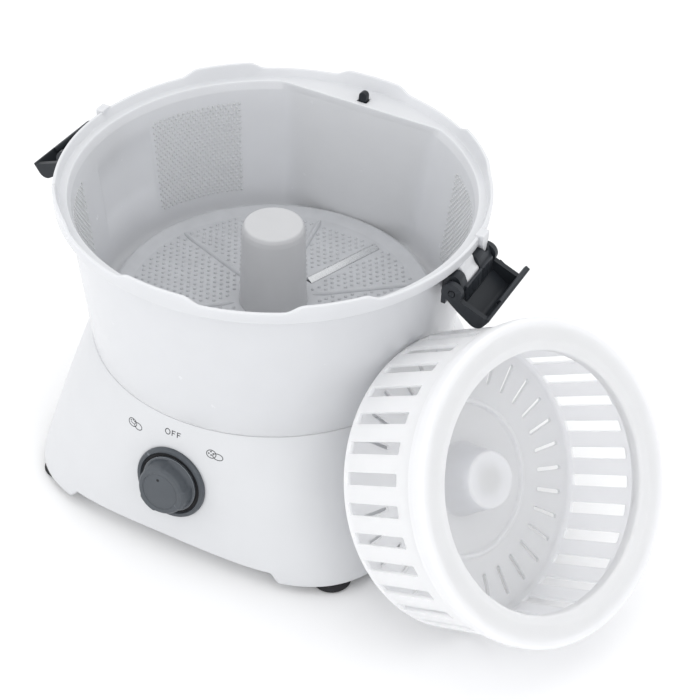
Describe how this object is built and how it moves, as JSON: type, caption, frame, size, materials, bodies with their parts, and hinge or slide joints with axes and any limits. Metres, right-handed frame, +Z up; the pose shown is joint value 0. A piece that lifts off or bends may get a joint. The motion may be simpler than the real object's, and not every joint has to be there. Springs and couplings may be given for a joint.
{
  "type": "electric potato peeler",
  "caption": "Motor base with control knob, lift-off peeling bowl with driven abrasive disc and hub, side latches and a slotted spin basket leaning on the bowl.",
  "frame": {"origin": "on the disc's spin axis, in the plane of the underside of the bottom plate; the feet reach 9 mm below it", "axes": "+Z up along the spin axis; -Y is the front, with the control knob; the latches are at +X and -X; the interlock rod and the cord gland are at +Y"},
  "size_m": [0.4137, 0.2808, 0.198],
  "materials": {
    "white_shell": "satin white moulding",
    "bowl_white": "glossy white moulding",
    "basket_plastic": "translucent white moulding",
    "hub_plastic": "smooth pale blue-grey",
    "grey_plastic": "fine satin grain",
    "dark_plastic": "satin charcoal",
    "foot_rubber": "matt",
    "steel": "bright",
    "motor_steel": "zinc plated",
    "laminations": "varnished",
    "bronze": "sintered",
    "gear_plastic": "natural",
    "inner_plastic": "matt",
    "plunger_plastic": "matt",
    "lead_brown": "matt"
  },
  "bodies": {
    "base": {"base_housing": "white_shell", "base_plate": "white_shell", "foot_rear_right": "foot_rubber", "foot_rear_left": "foot_rubber", "foot_front_left": "foot_rubber", "foot_front_right": "foot_rubber", "plate_screw_1": "steel", "plate_screw_2": "steel", "plate_screw_3": "steel", "plate_screw_4": "steel", "control_bezel": "grey_plastic", "rotary_switch": "inner_plastic", "idler_pin": "steel", "motor_can": "motor_steel", "motor_end_bell": "motor_steel", "gearbox_plate": "inner_plastic", "gearbox_cover": "inner_plastic", "gearbox_screw_1": "steel", "gearbox_screw_2": "steel", "gearbox_screw_3": "steel", "shaft_bush": "bronze", "deck_seal": "foot_rubber", "microswitch": "inner_plastic", "cord_gland": "foot_rubber", "supply_lead": "inner_plastic", "motor_lead": "lead_brown"},
    "bowl": {"bowl": "bowl_white", "latch_knuckle_right_front": "dark_plastic", "latch_knuckle_right_rear": "dark_plastic", "latch_knuckle_left_front": "dark_plastic", "latch_knuckle_left_rear": "dark_plastic", "latch_pin_right": "dark_plastic", "latch_pin_left": "dark_plastic"},
    "disc": {"peeling_disc": "hub_plastic", "drive_hub": "hub_plastic", "disc_blade_1": "steel", "disc_blade_2": "steel"},
    "drive": {"output_gear": "gear_plastic", "drive_shaft": "steel"},
    "idler": {"idler_gear": "gear_plastic"},
    "rotor": {"motor_shaft": "steel", "motor_pinion": "bronze", "cooling_fan": "inner_plastic", "motor_rotor": "laminations"},
    "knob": {"control_knob": "grey_plastic", "knob_spindle": "gear_plastic"},
    "latch_right": {"latch_lever_right": "dark_plastic"},
    "latch_left": {"latch_lever_left": "dark_plastic"},
    "interlock": {"interlock_rod": "dark_plastic"},
    "plunger": {"switch_plunger": "plunger_plastic"},
    "basket": {"spin_basket": "basket_plastic"}
  },
  "joints": [
    {"name": "bowl_lift", "type": "slide", "parent": "base", "child": "bowl", "axis": [0, 0, 1], "range_m": [0, 0.12]},
    {"name": "disc_spin", "type": "hinge", "parent": "bowl", "child": "disc", "pos_m": [0, 0, 0.095], "axis": [0, 0, 1], "continuous": true},
    {"name": "drive_spin", "type": "hinge", "parent": "base", "child": "drive", "pos_m": [0, 0, 0.07], "axis": [0, 0, 1], "continuous": true},
    {"name": "idler_spin", "type": "hinge", "parent": "base", "child": "idler", "pos_m": [-0.0402, 0, 0.065], "axis": [0, 0, 1], "continuous": true},
    {"name": "motor_spin", "type": "hinge", "parent": "base", "child": "rotor", "pos_m": [-0.06104, 0.01748, 0.035], "axis": [0, 0, 1], "continuous": true},
    {"name": "knob_turn", "type": "hinge", "parent": "base", "child": "knob", "pos_m": [0, -0.11645, 0.042], "axis": [0, -0.9862, 0.1655], "range_deg": [-45, 45]},
    {"name": "latch_right_turn", "type": "hinge", "parent": "bowl", "child": "latch_right", "pos_m": [0.1272, 0, 0.1695], "axis": [0, -1, 0], "range_deg": [0, 122]},
    {"name": "latch_left_turn", "type": "hinge", "parent": "bowl", "child": "latch_left", "pos_m": [-0.1272, 0, 0.1695], "axis": [0, 1, 0], "range_deg": [0, 122]},
    {"name": "interlock_push", "type": "slide", "parent": "bowl", "child": "interlock", "axis": [0, -0.0698, -0.9976], "range_m": [0, 0.0035], "stiffness_N_per_m": 300, "springref_m": -0.004},
    {"name": "plunger_push", "type": "slide", "parent": "base", "child": "plunger", "axis": [0, 0, -1], "range_m": [0, 0.0035]},
    {"name": "basket_away", "type": "slide", "parent": "base", "child": "basket", "axis": [0.95, -0.3122, 0], "range_m": [0, 0.08]}
  ],
  "couplings": [
    {"joint": "drive_spin", "follows": "disc_spin", "ratio": 1},
    {"joint": "idler_spin", "follows": "disc_spin", "ratio": -3},
    {"joint": "motor_spin", "follows": "disc_spin", "ratio": 10.5},
    {"joint": "plunger_push", "follows": "interlock_push", "ratio": 1}
  ]
}
